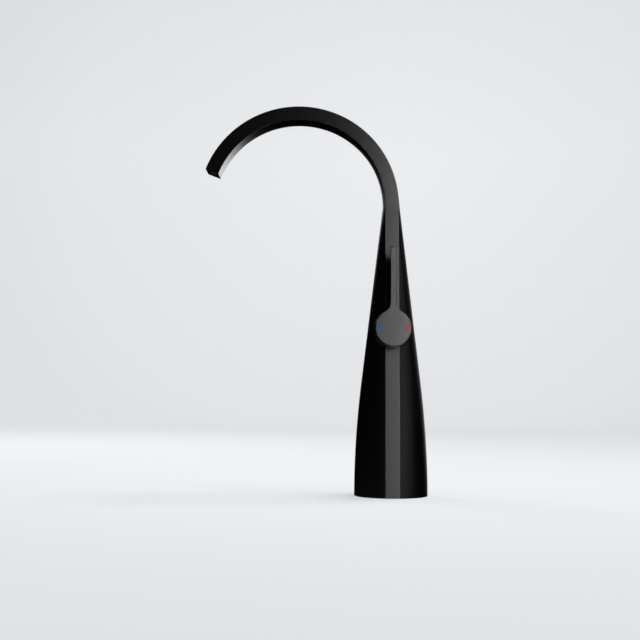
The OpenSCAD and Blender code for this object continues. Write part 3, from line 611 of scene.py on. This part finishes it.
# Finish of each material slot: colour, roughness and metal, the share by which its grain changes
# the roughness and the colour, the grain's cells per metre and how they are stretched, and its
# height in metres
FINISHES = {
    "black_coat": dict(color=(0.0008, 0.0008, 0.0009), roughness=0.3, play=0.05, cells=1300,
                       height=1.2e-6),
    "cold_enamel": dict(color=(0.009, 0.095, 0.33), roughness=0.4, play=0.1, tint=0.06,
                        cells=2400, height=1e-6, **FLAT_ENAMEL),
    "hot_enamel": dict(color=(0.5, 0.048, 0.05), roughness=0.4, play=0.1, tint=0.06,
                       cells=2400, height=1e-6, **FLAT_ENAMEL),
    "steel": dict(color=(0.55, 0.56, 0.57), roughness=0.3, metallic=1, play=0.2, tint=0.04,
                  cells=900, stretch=(1, 1, 8), height=3e-6),
    "brass": dict(color=(0.62, 0.44, 0.18), roughness=0.32, metallic=1, play=0.2, tint=0.05,
                  cells=700, height=3e-6, rings=True),
    "copper": dict(color=(0.6, 0.3, 0.18), roughness=0.35, metallic=1, play=0.2, tint=0.08,
                   cells=1200, stretch=(1, 1, 0.05), height=2e-6),
    "pale_plastic": dict(color=(0.74, 0.73, 0.68), roughness=0.5, play=0.1, tint=0.02,
                         cells=1800, height=4e-6),
    "tan_plastic": dict(color=(0.55, 0.43, 0.22), roughness=0.5, play=0.15, tint=0.12,
                        cells=1500, height=5e-6),
    "red_plastic": dict(color=(0.45, 0.05, 0.04), roughness=0.45, play=0.1, tint=0.05,
                        cells=1800, height=4e-6),
    "dark_plastic": dict(color=(0.006, 0.006, 0.0065), roughness=0.42, play=0.12, tint=0.1,
                         cells=2200, height=4e-6),
    "grey_plastic": dict(color=(0.05, 0.05, 0.055), roughness=0.45, play=0.12, tint=0.08,
                         cells=2200, height=4e-6),
    "tube_plastic": dict(color=(0.7, 0.73, 0.75), roughness=0.4, play=0.1, tint=0.03,
                         cells=600, stretch=(1, 1, 0.2), height=4e-6),
    "ceramic": dict(color=(0.86, 0.85, 0.82), roughness=0.18, play=0.15, tint=0.01,
                    cells=3000, height=5e-7),
    "rubber": dict(color=(0.015, 0.015, 0.015), roughness=0.65, play=0.12, tint=0.15,
                   cells=2500, height=8e-6),
}
LEVER_COAT = dict(FINISHES["black_coat"], roughness=0.33, IOR=1.6)
# Span of the grain's values that is stretched over a finish's whole play
GRAIN_SPAN = (0.3, 0.7)
GRAIN_DETAIL = 3
# Turned rings per cell, and how much they waver
RING_SCALE = 0.3
RING_WAVER = 0.6


def shader_tree(name):
    """New material with its nodes and the call that links them."""
    mat = bpy.data.materials.new(name)
    mat.use_nodes = True
    return mat, mat.node_tree.nodes, mat.node_tree.links.new


def grained(name, color, roughness, metallic=0.0, play=0.0, tint=0.0, cells=1000,
            stretch=(1, 1, 1), height=0.0, rings=False, **sockets):
    """Surface whose fine grain, or fine turned rings, changes its roughness, colour and height."""
    mat, nodes, link = shader_tree(name)
    shader = nodes["Principled BSDF"]
    shader.inputs["Metallic"].default_value = metallic
    for key, value in sockets.items():
        shader.inputs[key].default_value = value
    place = nodes.new("ShaderNodeTexCoord")
    cell = nodes.new("ShaderNodeMapping")
    cell.inputs["Scale"].default_value = [cells * share for share in stretch]
    grain = nodes.new("ShaderNodeTexNoise")
    grain.inputs["Scale"].default_value = 1
    grain.inputs["Detail"].default_value = GRAIN_DETAIL
    link(place.outputs["Object"], cell.inputs["Vector"])
    link(cell.outputs["Vector"], grain.inputs["Vector"])
    relief = grain.outputs["Fac"]
    if rings:
        turned = nodes.new("ShaderNodeTexWave")
        turned.wave_type, turned.rings_direction = "RINGS", "Z"
        turned.inputs["Scale"].default_value = RING_SCALE
        turned.inputs["Distortion"].default_value = RING_WAVER
        link(cell.outputs["Vector"], turned.inputs["Vector"])
        relief = turned.outputs["Fac"]
    rough = nodes.new("ShaderNodeMapRange")
    for key, value in zip(("From Min", "From Max"), GRAIN_SPAN):
        rough.inputs[key].default_value = value
    for key, share in (("To Min", 1 - play), ("To Max", 1 + play)):
        rough.inputs[key].default_value = roughness * share
    link(relief, rough.inputs["Value"])
    link(rough.outputs["Result"], shader.inputs["Roughness"])
    ramp = nodes.new("ShaderNodeValToRGB")
    shares = (1 - tint, 1 + tint)
    for stop, position, share in zip(ramp.color_ramp.elements, GRAIN_SPAN, shares):
        stop.position = position
        stop.color = (*[min(value * share, 1) for value in color], 1)
    link(grain.outputs["Fac"], ramp.inputs["Fac"])
    link(ramp.outputs["Color"], shader.inputs["Base Color"])
    bump = nodes.new("ShaderNodeBump")
    bump.inputs["Strength"].default_value = 1
    bump.inputs["Distance"].default_value = height
    link(relief, bump.inputs["Height"])
    link(bump.outputs["Normal"], shader.inputs["Normal"])
    return mat


def finish_nodes(materials):
    """Gives every CAD node the material of its slot in the record."""
    for subpart in frame["record"]["subparts"]:
        obj = frame["nodes"][subpart["node"]]
        for place in obj.material_slots:
            place.material = materials[subpart["material_slot"]]


# Stage


# Camera at the photograph's place. Angles in degrees: turned left, tilted up and rolled
CAMERA_PLACE = (-0.04942, -0.880, 0.07489)
CAMERA_TURN = 0.483
CAMERA_TILT = 4.163
CAMERA_ROLL = 0.368
CAMERA_LENS = 61.99
CAMERA_SENSOR = 36
# Bowl: radii of the floor's rings, radius of the curve up to the wall, and the wall's top
FLOOR_RINGS = (1e-4, 0.4, 1.2, 2.2)
BOWL_BEND = 1.0
BOWL_H = 3.0
BOWL_STEPS = 96
BOWL_BEND_STEPS = 16
# Paper: its colour, its glow's tint, its glow by distance from a spot on the wall, as a share of
# the distance at which the ramp ends
PAPER_COLOR = (0.40, 0.405, 0.415)
PAPER_ROUGHNESS = 0.9
PAPER_TINT = (0.97, 0.985, 1.0)
PAPER_SPOT = (0.2, 3.2, 0.9)
PAPER_REACH = 5.0
PAPER_GLOW = ((0.0, 0.64), (0.24, 0.575), (0.3, 0.54), (0.44, 0.52), (0.6, 0.45), (0.76, 0.45))
# Cards round the object: radius, heights and, by direction, the brightness at each height. Key,
# side and back were fitted outside this script to grey levels read at points of the photo. The
# back card's columns past 181 degrees and the left card were set one by one
CARDS = {
    "key_strip": dict(
        radius=0.45, across=1,
        heights=(-0.35, -0.15, 0.05, 0.2, 0.3, 0.43),
        table={turn: (17.4, 19.1, 25, 26.3, 29.6, 34) for turn in (9.5, 12.5)}),
    "side_card": dict(
        radius=1.1,
        heights=(-0.3, 0.0, 0.2, 0.45, 0.8, 1.1),
        table={
            24: (0.00, 0.01, 0.02, 0.00, 0.00, 0.00),
            33: (0.10, 0.23, 0.24, 0.08, 0.00, 0.00),
            42: (0.23, 0.48, 0.58, 0.33, 0.05, 0.00),
            51: (0.13, 0.30, 0.49, 0.41, 0.11, 0.04),
            60: (0.02, 0.19, 0.34, 0.37, 0.17, 0.11),
            69: (0.00, 0.18, 0.26, 0.35, 0.26, 0.20),
            78: (0.00, 0.00, 0.00, 0.31, 0.38, 0.29),
            87: (0.00, 0.00, 0.00, 0.40, 0.45, 0.33),
            96: (0.00, 0.00, 0.00, 0.00, 0.36, 0.29),
            105: (0.00, 0.00, 0.00, 0.00, 0.26, 0.23),
            114: (0.00, 0.00, 0.00, 0.05, 0.19, 0.19),
        }),
    "back_card": dict(
        radius=2.2,
        heights=(-0.1, 0.15, 0.4, 0.8, 1.6),
        table={
            114: (0.00, 0.00, 0.00, 0.19, 0.00),
            124: (0.00, 0.00, 0.03, 0.00, 0.00),
            136: (0.02, 0.04, 0.22, 0.00, 0.00),
            148: (0.56, 0.46, 0.16, 0.00, 0.00),
            156: (0.00, 0.00, 0.85, 0.00, 0.18),
            160: (0.60, 1.06, 0.53, 0.36, 0.60),
            164: (3.51, 3.36, 2.24, 1.42, 1.25),
            170: (0.00, 0.00, 3.80, 2.33, 1.73),
            181: (0.00, 0.00, 0.00, 1.50, 1.61),
            192: (0.00, 0.00, 0.00, 1.00, 1.20),
            200: (0.00, 0.00, 0.00, 0.80, 0.80),
            208: (0.00, 0.00, 0.00, 0.30, 0.30),
            214: (0.00, 0.00, 0.00, 0.00, 0.00),
        }),
    "left_card": dict(
        radius=2.2,
        heights=(-1.0, -0.6, -0.3),
        table={
            215: (0.0, 0.0, 0.0),
            240: (0.4, 0.25, 0.0),
            310: (0.4, 0.25, 0.0),
            340: (0.0, 0.0, 0.0),
        }),
}
# Level card above: radius, height and brightness
SKY_R = 0.7
SKY_Z = 1.4
SKY_GLOW = 0.4
SKY_STEPS = 48
# Square lights: place, point that they face, side and watts
SOFT_LIGHTS = {
    "top_light": ((0.18, 0.1, 1.15), (-0.05, 0.1, 0), 0.35, 8),
    "key_light": ((1.5, -0.9, 1.9), (0, 0, 0), 0.6, 8),
    "pool_light": ((-0.7, 0.8, 1.0), (-0.7, 0.9, 0), 0.5, 5.5),
}


def studio_camera():
    camera = bpy.data.cameras.new("camera")
    camera.sensor_width = CAMERA_SENSOR
    camera.lens = CAMERA_LENS
    obj = bpy.data.objects.new("camera", camera)
    obj.location = CAMERA_PLACE
    aim = Euler((math.radians(90 + CAMERA_TILT), 0, math.radians(CAMERA_TURN))).to_matrix()
    roll = Matrix.Rotation(math.radians(CAMERA_ROLL), 3, "Z")
    obj.rotation_euler = (aim @ roll).to_euler()
    bpy.context.scene.collection.objects.link(obj)
    bpy.context.scene.camera = obj


def dark_world():
    world = bpy.data.worlds.new("world")
    world.use_nodes = True
    world.node_tree.nodes["Background"].inputs["Color"].default_value = (0, 0, 0, 1)
    bpy.context.scene.world = world


def paper():
    """Paper that glows most round a spot on the far wall and dims away from it."""
    mat, nodes, link = shader_tree("stage_paper")
    shader = nodes["Principled BSDF"]
    shader.inputs["Base Color"].default_value = (*PAPER_COLOR, 1)
    shader.inputs["Roughness"].default_value = PAPER_ROUGHNESS
    shader.inputs["Specular IOR Level"].default_value = 0
    shader.inputs["Emission Color"].default_value = (*PAPER_TINT, 1)
    place = nodes.new("ShaderNodeTexCoord")
    far = nodes.new("ShaderNodeVectorMath")
    far.operation = "DISTANCE"
    far.inputs[1].default_value = PAPER_SPOT
    share = nodes.new("ShaderNodeMath")
    share.operation = "DIVIDE"
    share.inputs[1].default_value = PAPER_REACH
    ramp = nodes.new("ShaderNodeValToRGB")
    stops = ramp.color_ramp.elements
    while len(stops) < len(PAPER_GLOW):
        stops.new(1.0)
    for stop, (position, value) in zip(stops, PAPER_GLOW):
        stop.position = position
        stop.color = (value, value, value, 1)
    link(place.outputs["Object"], far.inputs[0])
    link(far.outputs["Value"], share.inputs[0])
    link(share.outputs["Value"], ramp.inputs["Fac"])
    link(ramp.outputs["Color"], shader.inputs["Emission Strength"])
    return mat


def stage_bowl():
    """Pale floor that curves up into a wall all round. The coat doesn't mirror it."""
    floor_r = FLOOR_RINGS[-1]
    profile = [(r, 0.0) for r in FLOOR_RINGS]
    profile += [(floor_r + BOWL_BEND * math.sin(a), BOWL_BEND * (1 - math.cos(a)))
                for a in spaced(0, QUARTER, BOWL_BEND_STEPS)[1:]]
    profile.append((floor_r + BOWL_BEND, BOWL_H))
    rings = [[(r * math.cos(a), r * math.sin(a), z) for a in turns(BOWL_STEPS)]
             for r, z in profile]
    obj = plain_object("stage_bowl", *loft(rings), paper())
    obj.data.shade_smooth()
    obj.visible_glossy = False
    obj.visible_shadow = False


def card_glow():
    """Emission whose strength is stored in the card's own points."""
    mat, nodes, link = shader_tree("card_glow")
    nodes.clear()
    out = nodes.new("ShaderNodeOutputMaterial")
    light = nodes.new("ShaderNodeEmission")
    where = nodes.new("ShaderNodeAttribute")
    where.attribute_name = "strength"
    link(where.outputs["Fac"], light.inputs["Strength"])
    link(light.outputs["Emission"], out.inputs["Surface"])
    return mat


def card(name, verts, faces, strengths, material):
    """Glowing card with a brightness at each point, which only shows in reflections."""
    obj = plain_object(name, verts, faces, material)
    glow = obj.data.attributes.new("strength", "FLOAT", "POINT")
    glow.data.foreach_set("value", strengths)
    obj.visible_camera = False
    obj.visible_diffuse = False
    obj.visible_shadow = False


def light_wall(name, radius, heights, table, material, across=2):
    """Upright curved card round the object, with across steps from one direction to the next.

    The table gives the brightness at each height, for directions in degrees from the front to the
    right.
    """
    marks, glows = list(table), list(table.values())
    places = [(i, k / across) for i in range(len(marks) - 1) for k in range(across)]
    verts, strengths = [], []
    for i, share in places + [(len(marks) - 2, 1.0)]:
        a = math.radians(mix(marks[i], marks[i + 1], share))
        verts += [(radius * math.sin(a), -radius * math.cos(a), z) for z in heights]
        strengths += [mix(low, high, share) for low, high in zip(glows[i], glows[i + 1])]
    n = len(heights)
    faces = [(k, k + n, k + n + 1, k + 1)
             for i in range(len(places)) for k in range(i * n, i * n + n - 1)]
    card(name, verts, faces, strengths, material)


def light_disc(name, radius, z, strength, material):
    """Level round card above the object."""
    rim = [(radius * math.cos(a), radius * math.sin(a), z) for a in turns(SKY_STEPS)]
    card(name, *cap(rim), [strength] * SKY_STEPS, material)


def soft_light(name, place, aim, size, power):
    """Square light for matt surfaces only."""
    light = bpy.data.lights.new(name, "AREA")
    light.size, light.energy = size, power
    obj = bpy.data.objects.new(name, light)
    obj.location = place
    obj.rotation_euler = (Vector(aim) - Vector(place)).to_track_quat("-Z", "Y").to_euler()
    obj.visible_camera = False
    obj.visible_glossy = False
    bpy.context.scene.collection.objects.link(obj)


studio_camera()
bpy.context.scene.view_settings.view_transform = "Standard"
dark_world()
stage_bowl()
card_material = card_glow()
for card_name, values in CARDS.items():
    light_wall(card_name, material=card_material, **values)
light_disc("sky_card", SKY_R, SKY_Z, SKY_GLOW, card_material)
for light_name, values in SOFT_LIGHTS.items():
    soft_light(light_name, *values)

materials = {name: grained(name, **finish) for name, finish in FINISHES.items()}
finish_nodes(materials)
coat = materials["black_coat"]
mixer_shell(coat)
valve_boss(coat)
bonnet(coat)
lever_body(grained("lever_coat", **LEVER_COAT))
